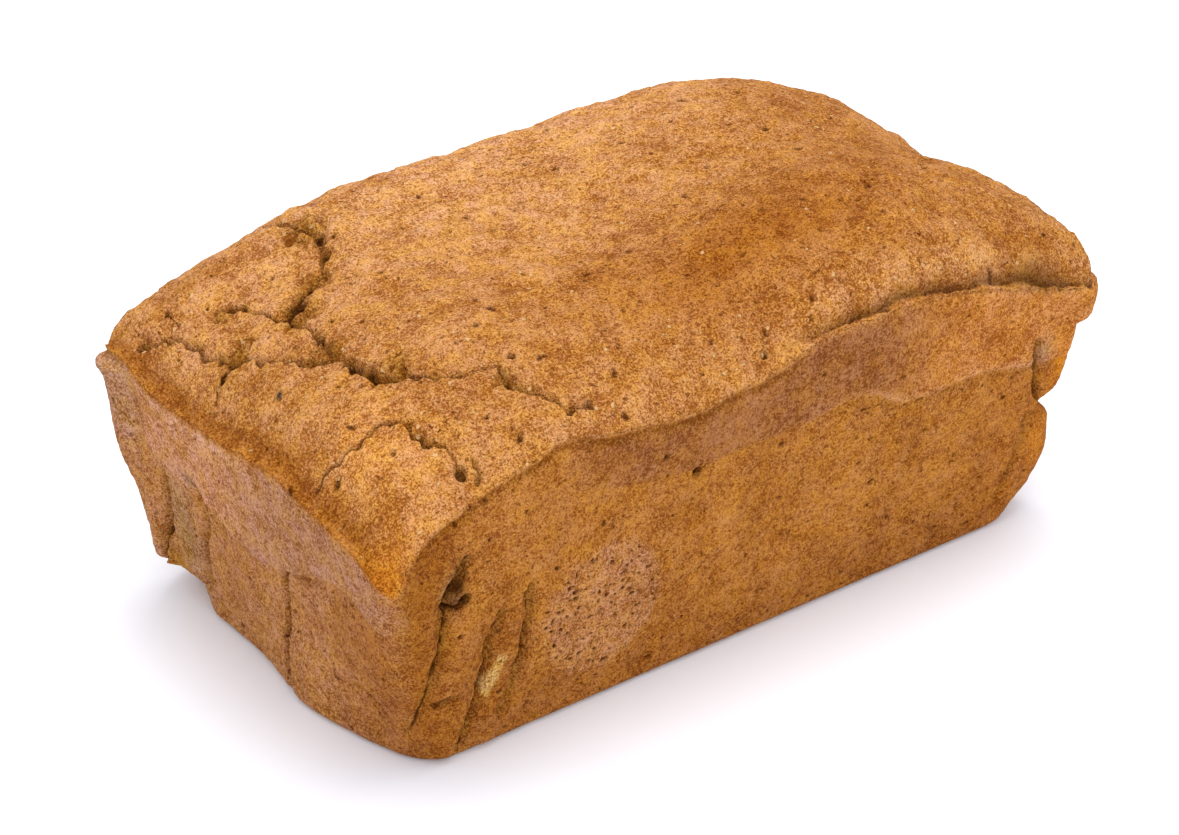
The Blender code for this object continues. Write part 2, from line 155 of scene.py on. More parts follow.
# At the far edge of the left end a flap stands out: how far, where across the end, and at which heights it
# begins and fades. Towards its foot it spreads more.
FLAP = 3.4
FLAP_ACROSS = (45, 51)
FLAP_FOOT = (9.5, 11)
FLAP_FADE = (30, 62)
FLAP_SPREAD = (0.4, 12, 22)

# Over the flap a strip stands out, with a lip at its top, up to the ledge where the crust begins
STRIP = 3.2
STRIP_ACROSS = (50, 58)
STRIP_START = (30, 50)
STRIP_LIP = 1.4
STRIP_LIP_ACROSS = (57, 64)
STRIP_LIP_START = (66, 69)
LEDGE = (70.3, 71.8)

# How far each place of the torn near corner of the right end stands out, and its heights
TORN_CORNER_END = (-56, -40)
CORNER_LIP = 5.6
CORNER_LIP_START = (61.2, 62.4)
CORNER_LIP_EASE = (0.65, 70.5, 74)
CORNER_TEAR = 0.5
CORNER_TEAR_START = (38, 42)
CORNER_TEAR_FADE = (57, 61)
CORNER_NOTCH = (-14.0, 36.3, 3.2)
CORNER_SWELL = (6.4, 16, 13)

# How the feet of the ends swell or draw in
LEFT_SWELL = (4.4, -17, 17)
LEFT_FOOT_FADE = (8, 34)
LEFT_NEAR_DRAW = -1.8
LEFT_NEAR_CORNER = (-48, -36)
LEFT_FAR_DRAW = -6.0
LEFT_FAR_CORNER = (30, 50)
RIGHT_DRAW = -6.5
RIGHT_DRAW_HEIGHT = 9
RIGHT_DRAW_CURVE = 1.6
RIGHT_DRAW_EASE = 0.65
RIGHT_DRAW_ACROSS = (-45, 10)

# How far the crust's creases wander from their routes, and how much less the walls' do
WANDER = [(0.7, 1.7), (0.4, 0.75)]
WALL_WANDER = 0.35

# How far the bands under the rim and the smooth skin patch stand out, and how soft the bands' edges are
BAND_STEP = 0.9
BAND_EDGE = (-1.1, 1.1)
PATCH_STEP = 0.6

# General unevenness: wavelength, height, seed
LUMPS = [(34.0, 1.3, 5), (13.0, 0.45, 11)]
WALL_LUMPS = [(30.0, 0.9, 23), (11.0, 0.35, 31)]
WALL_SPACE = (80, 50, 35)

# How far a wall's relief reaches over the crust and under the foot, and how the crust's reaches down a wall
TOP_FADE = 6.0
BOTTOM_FADE = 25.0
CRUST_CARRY = 14

# The heights in which relief and unevenness begin above the foot
RELIEF_START = (0.0, 3.0)
LUMPS_START = (0.0, 6.0)

# Fine relief, which the solid leaves out: wavelength, height, seed
CRUST_GRAIN = [(11.0, 0.40, 2), (6.5, 0.42, 3), (3.3, 0.34, 4), (1.7, 0.22, 6)]
WALL_GRAIN = [(6.0, 0.20, 8), (2.6, 0.17, 9), (1.3, 0.10, 10)]
TEAR_WIDTH = [(6.0, 0.30, 51), (2.1, 0.34, 52)]
TEAR_WANDER = [(4.0, 0.8, 53), (1.5, 0.7, 54)]
TEAR_FILL = [(7.0, 0.55, 57), (2.6, 0.45, 58)]
BEND = [(2.2, 0.6, 56), (1.1, 0.35, 57)]

# How wide a tear is as a share of its groove, how much of that is its floor, where crumbs begin and end
# filling it, how far crumbs fill the cracks of the crust, and how far the slits of the walls wander
TEAR_SHARE = 0.66
TEAR_FLOOR = 0.1
FILL_EDGE = (-0.25, 0.35)
CRACK_FILL = 0.32
SLIT_WANDER = 0.45

# Lumps, crumbs and pits lie one to a square: the square's size, seed
CRUST_LUMP = (2.5, 61)
CRUST_CRUMB = (3.2, 64)
CRUST_PIT = (6.0, 67)
WALL_LUMP = (2.4, 71)

# Their heights and depths, and their reach as a share of the square
CRUST_LUMP_HEIGHT = 0.5
CRUST_LUMP_DROP = 0.15
WALL_LUMP_HEIGHT = 0.34
LUMP_REACH = 0.75
CRUMB_HEIGHT = 2.8
CRUMB_DROP = 2.0
CRUMB_REACH = 0.7
CRUST_PIT_DEPTH = 0.8
WALL_PIT_DEPTH = 0.9

# The share of squares without a pit, the smallest pit's reach and how much wider the widest is. The walls and
# the skin patch have pits of their own: the square's size, seed, then the same three
CRUST_PIT_REACH = (0.68, 0.3, 0.8)
WALL_PIT = (7.0, 74, 0.55, 0.1, 0.8)
PATCH_PIT = (2.1, 77, 0.35, 0.15, 0.75)

# How much calmer than the wall a band is: in its grain, lumps and pits
BAND_CALM = (0.55, 0.75, 0.4)

# The groove along the near rim, painted dark as its shadow: distance in from the wall, how far it waves,
# reach, where it starts and is full along X. Then its waves: share, length
RIM_LINE = (1.7, 0.6, 0.8, -12, 34)
RIM_LINE_WAVES = [(0.5, 6.1), (0.3, 2.3)]

# Along the left rim a lip and the dip behind it: height, distance in from the wall, reach
LEFT_EDGE = [(0.5, 0.0, 1.6), (-0.9, 4.5, 2.6)]

# The crease under the crust on the near side: distance under the rim, how far it waves, the wave's length,
# reach, and where it starts and ends along X
UNDER_RIM = (2.0, 0.5, 4.3, 1.2)
UNDER_RIM_START = (-112, -100)
UNDER_RIM_END = (0, 20)

# How far the fine relief of a wall reaches over the crust
FINE_CARRY = 1.5

# Where the crust is torn into crumbs, most over this share of each reach: X, Y, reach
CRUMBLY_CORE = 0.45
CRUMBLY = [(-84, 18, 8.0), (-63, 47, 8.5), (-90, -3, 6.5), (-85, -25, 6.5), (-74, 26, 6.5), (-99, 22, 5.0),
           (-94, 38, 4.0), (-67, -48, 4.0)]

# Holes are painted dark inside as shade: how dark, between which depths it sets in, and which of the near
# side's are
HOLE_DARKNESS = 0.85
TOP_HOLE_EDGE = (0.3, 1.3)
NEAR_HOLE_EDGE = (0.4, 1.4)
DARK_HOLES = NEAR_HOLES[:3]

# Narrow slits at the bottom of the folds: half width, depth, then the route
NEAR_SLITS = [
    (2.0, 5.5, [(-92.5, 62.5), (-94, 58.5), (-95, 55)]),
    (2.1, 4.5, [(-92, 51.5), (-95, 50.5)]),
    (1.0, 2.6, [(-95, 55), (-96.5, 47)]),
    (0.8, 1.8, [(-96, 47), (-97, 37), (-101, 23), (-104, 12)]),
    (0.8, 2.0, [(-79, 42), (-82, 36), (-83, 27), (-86, 14), (-89, 4)]),
    (0.8, 2.2, [(-70, 47), (-70, 38), (-71, 26), (-74, 17)]),
    (0.9, 2.4, [(-99, 21), (-95, 22.5)]),
    (0.9, 2.5, [(97, 61), (98, 52), (100, 41)]),
]
LEFT_SLITS = [
    (1.0, 2.2, [(-15, 44), (-12, 33), (-11, 24)]),
    (1.4, 3.4, [(-11, 24), (-9, 12), (-9, 1)]),
    (0.6, 1.4, [(-44, 20), (-50, 16)]),
    (0.8, 2.0, [(43, 45), (45, 30), (49, 18), (51, 8)]),
]

# The crust's colours, linear: its own ones, and the painted shade noted below
GOLD = (0.54, 0.227, 0.059)
PALE_GOLD = (0.61, 0.275, 0.088)
FAR_GOLD = (0.69, 0.325, 0.118)
NEAR_GOLD = (0.65, 0.272, 0.064)
BROWN = (0.36, 0.113, 0.009)
RIM_ORANGE = (0.44, 0.150, 0.015)
TIP_ORANGE = (0.58, 0.195, 0.012)
RIM_DARK = (0.27, 0.078, 0.006)
CORNER_OLIVE = (0.42, 0.185, 0.035)
FLAKE_YELLOW = (0.54, 0.29, 0.075)
CRUMB = (0.44, 0.190, 0.034)
# The colour inside tears, partly crumbs and partly painted shade, also laid as painted shade in folds and
# creases
TEAR_AND_SHADE = (0.33, 0.130, 0.018)
# Painted shadow deep in tears, holes and pits, in the near side's slits and along the near rim's groove
DEEP_SHADE = (0.075, 0.022, 0.002)
SIDE = (0.45, 0.168, 0.028)
FOOT_BROWN = (0.35, 0.121, 0.020)
CORNER_BROWN = (0.29, 0.087, 0.007)
RIGHT_BROWN = (0.40, 0.132, 0.019)
BAND = (0.32, 0.119, 0.033)
BAND_RIGHT = (0.53, 0.200, 0.040)
SKIN = (0.48, 0.203, 0.066)
END = (0.46, 0.193, 0.060)
END_RIGHT = (0.375, 0.135, 0.031)
MAUVE = (0.54, 0.240, 0.096)
MAUVE_LOW = (0.41, 0.184, 0.080)
SPECK_BLACK = (0.05, 0.03, 0.03)
PALE_STRIP = (0.48, 0.25, 0.125)
SMEAR = (0.22, 0.12, 0.07)
PALE_LIP = (0.64, 0.34, 0.17)
BAND_LIP = (0.56, 0.25, 0.095)
# Painted shadow in the right part of the near rim's groove
OLIVE_RIM_SHADOW = (0.19, 0.070, 0.008)
EDGE_ORANGE = (0.56, 0.185, 0.010)
GREY_SKIN = (0.27, 0.17, 0.085)
STRIP_ORANGE = (0.44, 0.165, 0.040)
# Ochre, darkened as painted shade under the left end's flap
OCHRE_SHADE = (0.34, 0.135, 0.016)
OLIVE_GREY = (0.36, 0.22, 0.10)

# Soft ovals of colour: colour, share, place and reach. On the top crust along X and Y
TOP_PATCHES = [
    (PALE_GOLD, 1.0, -20, 42, 90, 38),
    (FAR_GOLD, 0.8, 20, 58, 80, 16),
    (NEAR_GOLD, 0.9, -101, -42, 10, 16),
    (BROWN, 0.92, 20, -38, 52, 18),
    (BROWN, 0.4, 75, -12, 36, 30),
    (BROWN, 0.95, 94, -60, 13, 4.5),
    (BROWN, 0.4, -21, -26, 9, 5),
    (BROWN, 0.35, -5, -48, 9, 6),
    (BROWN, 0.4, 55, -56, 9, 4),
    (BROWN, 0.3, -95, 55, 14, 6),
    (BROWN, 0.35, 90, 30, 25, 25),
]
# The second is painted shadow in the right part of the near rim's groove
RIM_PATCHES = [(TIP_ORANGE, 0.9, -113, -62, 7, 7), (OLIVE_RIM_SHADOW, 0.85, 96, -65, 10, 2.4)]

# On the near side along X and Z
NEAR_PATCHES = [
    (FOOT_BROWN, 0.95, -82, 28, 12, 20),
    (GREY_SKIN, 0.75, -96, 55, 2.6, 6),
    # These two are painted shadow deep in the slits at the top of the near side's folds
    (DEEP_SHADE, 1.6, -93.5, 59, 1.9, 4.5),
    (DEEP_SHADE, 1.1, -92.5, 51.5, 2.0, 1.5),
    (EDGE_ORANGE, 0.95, 107, 50, 3.2, 9),
    (EDGE_ORANGE, 0.85, 104, 26, 4.0, 11),
    (GREY_SKIN, 0.55, 99, 57, 3.5, 4),
    (CORNER_OLIVE, 0.6, -110, 32, 4, 26),
]

# On the left end along Y and Z, before its folds get their painted shade and after
LEFT_PATCHES = [
    (STRIP_ORANGE, 0.8, 58, 38, 9, 13),
    (OLIVE_GREY, 0.6, 38, 27, 6, 17),
    (SMEAR, 0.8, 28, 49, 4, 2.2),
]
# Ochre with painted shade under the left end's flap
LEFT_FOOT_PATCHES = [(OCHRE_SHADE, 0.9, 46, 13, 4.5, 6)]

# The orange strip along the left rim: share, from, full. The dark one: share, place, reach. Both are ragged
# by this grain: wavelength, distance, seed
RIM_ORANGE_STRIP = (0.75, 6.5, 1.0)
RIM_DARK_STRIP = (0.6, 2.8, 1.7)
RIM_RAGGED = [(6.0, 1.6, 81), (2.5, 0.9, 82)]
DARK_RAGGED_SHARE = 0.6

# Colours that set in along a direction: share, from, full
FOOT_SHADE = (0.8, 26, 4)
CORNER_SHADE = (0.8, -86, -104)
RIGHT_SHADE = (0.6, 70, 92)
END_RIGHT_SHADE = (1.0, -25, -52)
PALE_STRIP_SHADE = (0.75, 49, 53)

# The same with the depth of the folds, for the painted shade in them
NEAR_FOLD_SHADE = (0.75, 0.3, 2.6)
LEFT_FOLD_SHADE = (0.65, 0.3, 2.4)

# How strong the other colours are. The last two are painted shadow, along the near rim and in the crease
# under the crust
CRUMB_SHARE = 0.8
BAND_SHARE = 0.9
SKIN_SHARE = 0.85
RIM_SHADOW_SHARE = 0.7
UNDER_RIM_SHADE_SHARE = 0.55

# Where the near band turns paler along X, and the left one mauve along Y and a share of Z
BAND_RIGHT_START = (35, 75)
MAUVE_START = (10, 50)
MAUVE_SLOPE = 0.5

# The left band's pale lip: share, distance under the rim, reach. Then its start and end along Y
LEFT_LIP_LINE = (0.7, 3.0, 0.9)
LEFT_LIP_START = (-10, 15)
LEFT_LIP_END = (46, 50)

# How far from the flake's line its colour ends and the folds' painted shade starts
FLAKE_COLOUR_EDGE = (1.2, 1.8)
FLAKE_CLEAR = (1.5, 3.0)

# Where the walls' colour starts below the rim, and the near side's round a corner
WALL_COLOUR_START = (0.0, 2.5)
NEAR_COLOUR_START = (0.0, 0.4)

# The painted highlight on the ridge behind the near rim: share, distance in, reach, start and full along X.
# Then one black speck
RIDGE_HIGHLIGHT = (0.6, 5.0, 2.0, -10, 30)
SPECK = (-104, -3, 0.7, 1.2)

# Upright streaks of a wall: wavelength, share, seed, and how much longer than wide they are
STREAKS = [(4.0, 0.5, 83), (9.0, 0.5, 84)]
STREAK_LENGTH = 3.5
STREAK_SHARE = 0.9

# Lines along the near band's edge, a pale lip and painted shadow under it: share, height over the edge,
# reach. They set in along X
BAND_LIP_LINE = (0.6, 0.4, 1.0)
BAND_SHADE_LINE = (0.35, -1.6, 0.9)
BAND_LINE_START = (10, 40)

# The colours inside tears and pits, partly the crumbs' colour and partly painted shade: share, how far in
# they set in and are full
TEAR_TINT = (0.8, 0.1, 0.55)
DARK_TINT = (1.0, 0.5, 0.95)
PIT_TINT = (0.85, 0.1, 0.8)

# How gritty the crust is, its walls are, and how much less the bands are
TOP_GRIT = 1.0
WALL_GRIT = 0.8
BAND_GRIT_LOSS = 0.25

# Squares: cuts of every face, further cuts of those that show, and the triangles that may stay. They are
# halved once more this near to cracks and slits, in crumbs and the skin patch over these shares, and behind
# the near rim this far in, from this X on
CUTS = 100
MORE_CUTS = 2
TRIANGLES = 198000
FINE_BY_CRACKS = 1.6
FINE_BY_SLITS = 1.8
FINE_CRUMBS = 0.1
FINE_PATCH = 0.3
FINE_RIM = (5.0, 5)

# Floor and lights: name, place and size in metres, power, colour
FLOOR_SIZE = 6.0
FLOOR_COLOUR = (0.90, 0.92, 0.965)
FLOOR_ROUGHNESS = 0.6
SKY_COLOUR = (0.975, 0.985, 1.04, 1.0)
SKY_STRENGTH = 0.95
LIT_PLACE = Vector((0, 0, 0.05))
LIGHTS = [
    ("overhead", (0.16, 0.10, 1.30), 1.0, 11.5, (1.0, 0.99, 0.96)),
    ("front", (-0.7, -1.3, 0.9), 1.2, 8.0, (1.0, 1.0, 1.0)),
]


def ramp(value, start, end):
    """0 up to start and 1 from end on, smooth between them."""
    share = np.clip((value - start) / (end - start), 0.0, 1.0)
    return share * share * (3.0 - 2.0 * share)


def along(knots, place):
    """A smooth curve through the knots, read at each place."""
    at, level = np.array(knots, float).T
    slope = np.gradient(level, at)
    place = np.clip(place, at[0], at[-1])
    first = np.clip(np.searchsorted(at, place) - 1, 0, len(at) - 2)
    gap = at[first + 1] - at[first]
    share = (place - at[first]) / gap
    eased = share * share * (3.0 - 2.0 * share)
    leaving = share * (1.0 - share) ** 2 * gap * slope[first]
    arriving = share**2 * (share - 1.0) * gap * slope[first + 1]
    return level[first] * (1.0 - eased) + level[first + 1] * eased + leaving + arriving


def mound(value, middle, reach):
    """1 at the middle, falling smoothly to nothing about two reaches away."""
    return np.exp(-(((value - middle) / reach) ** 2))


def distance_to(route, across, up):
    """Distance from each place to the nearest stretch of a route."""
    nearest = np.full(across.shape, 1e9)
    for (x1, y1), (x2, y2) in zip(route, route[1:]):
        run = np.array((x2 - x1, y2 - y1), float)
        share = ((across - x1) * run[0] + (up - y1) * run[1]) / (run @ run)
        share = np.clip(share, 0.0, 1.0)
        gap = np.hypot(across - x1 - share * run[0], up - y1 - share * run[1])
        nearest = np.minimum(nearest, gap)
    return nearest


def grooves(folds, across, up, wander=1.0):
    """Depth of the deepest groove at each place. The grooves wander a little, as crust tears."""
    (broad, wave), (small, ripple) = WANDER
    aside = broad * np.sin(up / wave) + small * np.sin(up / ripple + across / 3)
    upward = broad * np.sin(across / wave + 1) + small * np.sin(across / ripple - up / 3)
    depth = np.zeros(across.shape)
    for half_width, deepest, route in folds:
        gap = distance_to(route, across + wander * aside, up + wander * upward)
        depth = np.maximum(depth, deepest * (1.0 - ramp(gap, 0.0, half_width)))
    return depth


def holes(places, across, up):
    """Depth of the holes at each place."""
    depth = np.zeros(across.shape)
    for at, height, radius, deepest in places:
        gap = np.hypot(across - at, up - height)
        depth = np.maximum(depth, deepest * (1.0 - ramp(gap, HOLE_FLOOR * radius, radius)))
    return depth


def lumps(layers, points):
    """Smooth unevenness: each layer has a wavelength, a height and a seed."""
    height = np.zeros(len(points))
    for wavelength, most, seed in layers:
        shift = Vector((seed * 7.3, seed * 3.1, seed * 5.7))
        height += most * np.array([noise.noise(Vector(p) / wavelength + shift) for p in points])
    return height


def chance(square_u, square_v, seed):
    """An even random number from 0 to 1 for each whole-number square."""
    mixed = (square_u * 73856093) ^ (square_v * 19349663) ^ (seed * 83492791)
    mixed = (mixed ^ (mixed >> 13)) * 1274126177
    mixed = (mixed ^ (mixed >> 16)) * 668265263
    return ((mixed ^ (mixed >> 15)) & 0xFFFFFF) / float(0xFFFFFF)


def grain(layers, across, up):
    """Fine random relief over a surface, from minus to plus each layer's height."""
    height = np.zeros(across.shape)
    for wavelength, most, seed in layers:
        u = across / wavelength + seed * 5.37
        v = up / wavelength + seed * 3.19
        square_u = np.floor(u).astype(np.int64)
        square_v = np.floor(v).astype(np.int64)
        share_u = ramp(u - square_u, 0.0, 1.0)
        share_v = ramp(v - square_v, 0.0, 1.0)
        low = chance(square_u, square_v, seed) * (1 - share_u)
        low += chance(square_u + 1, square_v, seed) * share_u
        high = chance(square_u, square_v + 1, seed) * (1 - share_u)
        high += chance(square_u + 1, square_v + 1, seed) * share_u
        height += most * (2.0 * (low * (1 - share_v) + high * share_v) - 1.0)
    return height


def cells(across, up, size, seed):
    """Scattered points, one for each square of this size: the distance to the nearest as a share of the size,
    and an even random number that belongs to it."""
    u = across / size
    v = up / size
    square_u = np.floor(u).astype(np.int64)
    square_v = np.floor(v).astype(np.int64)
    first = np.full(u.shape, 9.0)
    own = np.zeros(u.shape)
    for step_u, step_v in product((-1, 0, 1), repeat=2):
        other_u = square_u + step_u
        other_v = square_v + step_v
        gap_u = u - other_u - chance(other_u, other_v, seed)
        gap_v = v - other_v - chance(other_u, other_v, seed + 1)
        gap = np.hypot(gap_u, gap_v)
        own = np.where(gap < first, chance(other_u, other_v, seed + 2), own)
        first = np.minimum(first, gap)
    return first, own


def crowd(s):
    """Draws the places along X towards the left end, where the cracks are."""
    return s - CROWDING * (1 - s * s)


def rim_height(s, t):
    """Height of the rims carried across the loaf: s and t run from -1 to 1 along X and Y."""
    x = s * RIM_LENGTH / 2
    y = t * RIM_WIDTH / 2
    u = (s + 1) / 2
    v = (t + 1) / 2
    near_left = NEAR_RIM[0][1]
    near_right = NEAR_RIM[-1][1]
    far_left = FAR_RIM[0][1]
    far_right = FAR_RIM[-1][1]
    lengthwise = along(NEAR_RIM, x) * (1 - v) + along(FAR_RIM, x) * v
    crosswise = along(LEFT_RIM, y) * (1 - u) + along(RIGHT_RIM, y) * u
    corners = (near_left * (1 - u) + near_right * u) * (1 - v) + (far_left * (1 - u) + far_right * u) * v
    return lengthwise + crosswise - corners


def shoulder(distance, reach):
    """0 at a wall, rising to 1 at its reach."""
    return 1.0 - (1.0 - np.clip(distance / reach, 0.0, 1.0)) ** SHOULDER_CURVE


def crust_height(s, t):
    """Height of the domed top crust before its cracks."""
    x = s * RIM_LENGTH / 2
    y = t * RIM_WIDTH / 2
    dome = shoulder(y + RIM_WIDTH / 2, NEAR_SHOULDER) * shoulder(RIM_WIDTH / 2 - y, FAR_SHOULDER)
    dome *= shoulder(x + RIM_LENGTH / 2, LEFT_SHOULDER) * shoulder(RIM_LENGTH / 2 - x, RIGHT_SHOULDER)
    return rim_height(s, t) + CROWN_RISE * dome


def plan(s, t, height):
    """X and Y of a place in the tin's plan at this height, and the direction that faces out there."""
    lean = np.clip(1.0 - height / RIM_LEVEL, 0.0, 1.0) ** DRAFT_CURVE
    half_length = (RIM_LENGTH - (RIM_LENGTH - BASE_LENGTH) * lean) / 2
    half_width = (RIM_WIDTH - (RIM_WIDTH - BASE_WIDTH) * lean) / 2
    corner = RIM_CORNER + (BASE_CORNER - RIM_CORNER) * lean
    x = half_length * s
    y = half_width * t
    over_x = np.maximum(np.abs(x) - (half_length - corner), 0.0)
    over_y = np.maximum(np.abs(y) - (half_width - corner), 0.0)
    round_x = over_x * np.sqrt(1.0 - (over_y / corner) ** 2 / 2)
    round_y = over_y * np.sqrt(1.0 - (over_x / corner) ** 2 / 2)
    out_x = np.where(np.abs(s) > ON_FACE, np.maximum(round_x, 1e-6), round_x * (round_y > 0))
    out_y = np.where(np.abs(t) > ON_FACE, np.maximum(round_y, 1e-6), round_y * (round_x > 0))
    size = np.maximum(np.hypot(out_x, out_y), 1e-9)
    x += np.sign(x) * (round_x - over_x)
    y += np.sign(y) * (round_y - over_y)
    return x, y, np.sign(s) * out_x / size, np.sign(t) * out_y / size


def tears(routes, across, up, wander=1.0, fill=0.0):
    """Depth of ragged tears at each place, and how far in each place is: 1 along the middle, 0 outside.
    Crumbs can fill them here and there."""
    depth = np.zeros(across.shape)
    inside = np.zeros(across.shape)
    width = TEAR_SHARE + grain(TEAR_WIDTH, across, up)
    open_share = 1.0 - fill * (1.0 - ramp(grain(TEAR_FILL, across, up), *FILL_EDGE))
    wander_across = across + wander * grain(TEAR_WANDER, across, up)
    wander_up = up + wander * grain(TEAR_WANDER, up, across)
    for half_width, deepest, route in routes:
        gap = distance_to(route, wander_across, wander_up) / (half_width * width)
        share = (1.0 - ramp(gap, TEAR_FLOOR, 1.0)) * open_share
        depth = np.maximum(depth, deepest * share)
        inside = np.maximum(inside, share)
    return depth, inside


def crumbly(x, y):
    """1 where the crust is torn into crumbs, 0 where it is whole."""
    most = np.zeros(x.shape)
    for at_x, at_y, reach in CRUMBLY:
        most = np.maximum(most, 1.0 - ramp(np.hypot(x - at_x, y - at_y) / reach, CRUMBLY_CORE, 1.0))
    return most


def along_near_rim(x, y, form):
    """A ridge or a groove that follows the near rim towards the right."""
    height, from_wall, reach, start, full = form
    return height * mound(y + RIM_WIDTH / 2, from_wall, reach) * ramp(x, start, full)


def top_relief(x, y):
    """How far the crust stands above its plain form, how far in a tear each place is, and the line along the
    near rim."""
    torn, inside = tears(TOP_CRACKS, x, y, fill=CRACK_FILL)
    hollow = holes(TOP_HOLES, x, y)
    inside = np.maximum(inside, HOLE_DARKNESS * ramp(hollow, *TOP_HOLE_EDGE))
    drop = np.maximum(torn, hollow)
    beside = np.zeros(x.shape)
    for half_width, _, route in TOP_CRACKS[:LIPPED_CRACKS]:
        beside += mound(distance_to(route, x, y), LIP_DISTANCE * half_width, LIP_REACH)
    wave = sum(share * np.sin(x / length) for share, length in RIM_LINE_WAVES)
    from_wall, waving, reach, start, full = RIM_LINE
    rim_line = mound(y + RIM_WIDTH / 2, from_wall + waving * wave, reach) * ramp(x, start, full)
    left_edge = sum(height * mound(x + RIM_LENGTH / 2, at, reach) for height, at, reach in LEFT_EDGE)
    rise = along_near_rim(x, y, RIM_GROOVE) + along_near_rim(x, y, RIM_BULGE)
    rise += LIP_RISE * np.minimum(beside, 1.0)
    return rise + left_edge - rim_line - drop, inside, rim_line


def low_lumps(across, up, square):
    """Low round lumps of uneven height, one to a square."""
    first, own = cells(across, up, *square)
    return np.clip(1.0 - (first / LUMP_REACH) ** 2, 0.0, 1.0) * (0.1 + 0.9 * own)


def wall_pits(across, up, form):
    """How far in a pit of a wall each place is. Wide pits are rare."""
    size, seed, bare, smallest, growth = form
    first, own = cells(across, up, size, seed)
    reach = smallest + growth * own**3
    return np.clip(1.0 - (size * first / reach) ** 2, 0.0, 1.0) * (own > bare)


def crust_detail(x, y, crumbs):
    """Fine relief of the top crust, and how far in a pit each place is."""
    bent_x = x + grain(BEND, x, y)
    bent_y = y + grain(BEND, y, x)
    rise = CRUST_LUMP_HEIGHT * low_lumps(bent_x, bent_y, CRUST_LUMP) - CRUST_LUMP_DROP
    rise += grain(CRUST_GRAIN, x, y)
    first, own = cells(bent_x, bent_y, *CRUST_CRUMB)
    crumb = np.sqrt(np.clip(1.0 - (first / CRUMB_REACH) ** 2, 0.0, 1.0)) * (0.35 + 0.65 * own)
    rise += crumbs * (CRUMB_HEIGHT * crumb - CRUMB_DROP)
    first, own = cells(bent_x, bent_y, *CRUST_PIT)
    bare, smallest, growth = CRUST_PIT_REACH
    reach = smallest + growth * np.clip((own - bare) / (1.0 - bare), 0.0, 1.0) ** 2
    pit = np.clip(1.0 - (CRUST_PIT[0] * first / reach) ** 2, 0.0, 1.0) * (own > bare)
    return rise - CRUST_PIT_DEPTH * pit, pit


def near_band(x, z):
    """1 on the band under the near rim."""
    return ramp(z - along(NEAR_BAND_EDGE, x), *BAND_EDGE) * ramp(x, *NEAR_BAND_START)


def skin_patch(x, z):
    """1 on the round patch of smooth skin of the near side."""
    at_x, at_z, reach_x, reach_z = SKIN_PATCH
    return 1.0 - ramp(np.hypot((x - at_x) / reach_x, (z - at_z) / reach_z), *SKIN_PATCH_EDGE)


def near_relief(x, z):
    """How far the near side stands out, less than nothing in its folds."""
    pleats = np.zeros(x.shape)
    for height, at, slant, reach, fade_start, fade_end in NEAR_PLEATS:
        leaning = at - slant * (PLEAT_LEVEL - z)
        pleats += height * mound(x, leaning, reach) * (1 - ramp(z, fade_start, fade_end))
    depth = np.maximum(grooves(NEAR_FOLDS, x, z, WALL_WANDER), holes(NEAR_HOLES, x, z))
    depth = np.maximum(depth - FLAKE_STEP * (1.0 - ramp(distance_to(FLAKE, x, z), *FLAKE_EDGE)), 0.0)
    return BAND_STEP * near_band(x, z) + PATCH_STEP * skin_patch(x, z) + pleats - depth


def left_band(y, z):
    """1 on the band under the rim of the left end."""
    return ramp(z - along(LEFT_BAND_EDGE, y), *BAND_EDGE) * (1 - ramp(y, *LEFT_BAND_END))


def left_relief(y, z):
    """How far the left end stands out."""
    spread, spread_start, spread_end = FLAP_SPREAD
    flap = FLAP * ramp(y, *FLAP_ACROSS) * ramp(z, *FLAP_FOOT) * (1 - ramp(z, *FLAP_FADE))
    flap *= 1 + spread * (1 - ramp(z, spread_start, spread_end))
    strip = STRIP * ramp(y, *STRIP_ACROSS) * ramp(z, *STRIP_START)
    strip += STRIP_LIP * ramp(y, *STRIP_LIP_ACROSS) * ramp(z, *STRIP_LIP_START)
    ledge = 1 - ramp(z, *LEDGE)
    return BAND_STEP * left_band(y, z) + flap + strip * ledge - grooves(LEFT_FOLDS, y, z, WALL_WANDER)


def right_relief(y, z):
    """How far the right end stands out: its near corner is torn."""
    ease, ease_start, ease_end = CORNER_LIP_EASE
    lip = CORNER_LIP * ramp(z, *CORNER_LIP_START) * (1 - ease * ramp(z, ease_start, ease_end))
    torn = CORNER_TEAR * ramp(z, *CORNER_TEAR_START) * (1 - ramp(z, *CORNER_TEAR_FADE))
    notch_depth, notch_level, notch_reach = CORNER_NOTCH
    swell_height, swell_level, swell_reach = CORNER_SWELL
    notch = notch_depth * mound(z, notch_level, notch_reach)
    swell = swell_height * mound(z, swell_level, swell_reach)
    return (1 - ramp(y, *TORN_CORNER_END)) * (lip + torn + notch + swell)


def left_foot(y, z):
    """How far the foot of the left end swells, and draws in at its corners."""
    height, at, reach = LEFT_SWELL
    near_draw = LEFT_NEAR_DRAW * (1 - ramp(y, *LEFT_NEAR_CORNER))
    swell = (height * mound(y, at, reach) + near_draw) * (1 - ramp(z, *LEFT_FOOT_FADE))
    return swell + LEFT_FAR_DRAW * ramp(y, *LEFT_FAR_CORNER) * (1 - ramp(z, *FLAP_FOOT))


def right_foot(y, z):
    """How far the foot of the right end draws in, most at its near corner."""
    low = np.clip(1 - z / RIGHT_DRAW_HEIGHT, 0, 1) ** RIGHT_DRAW_CURVE
    return RIGHT_DRAW * low * (1 - RIGHT_DRAW_EASE * ramp(y, *RIGHT_DRAW_ACROSS))


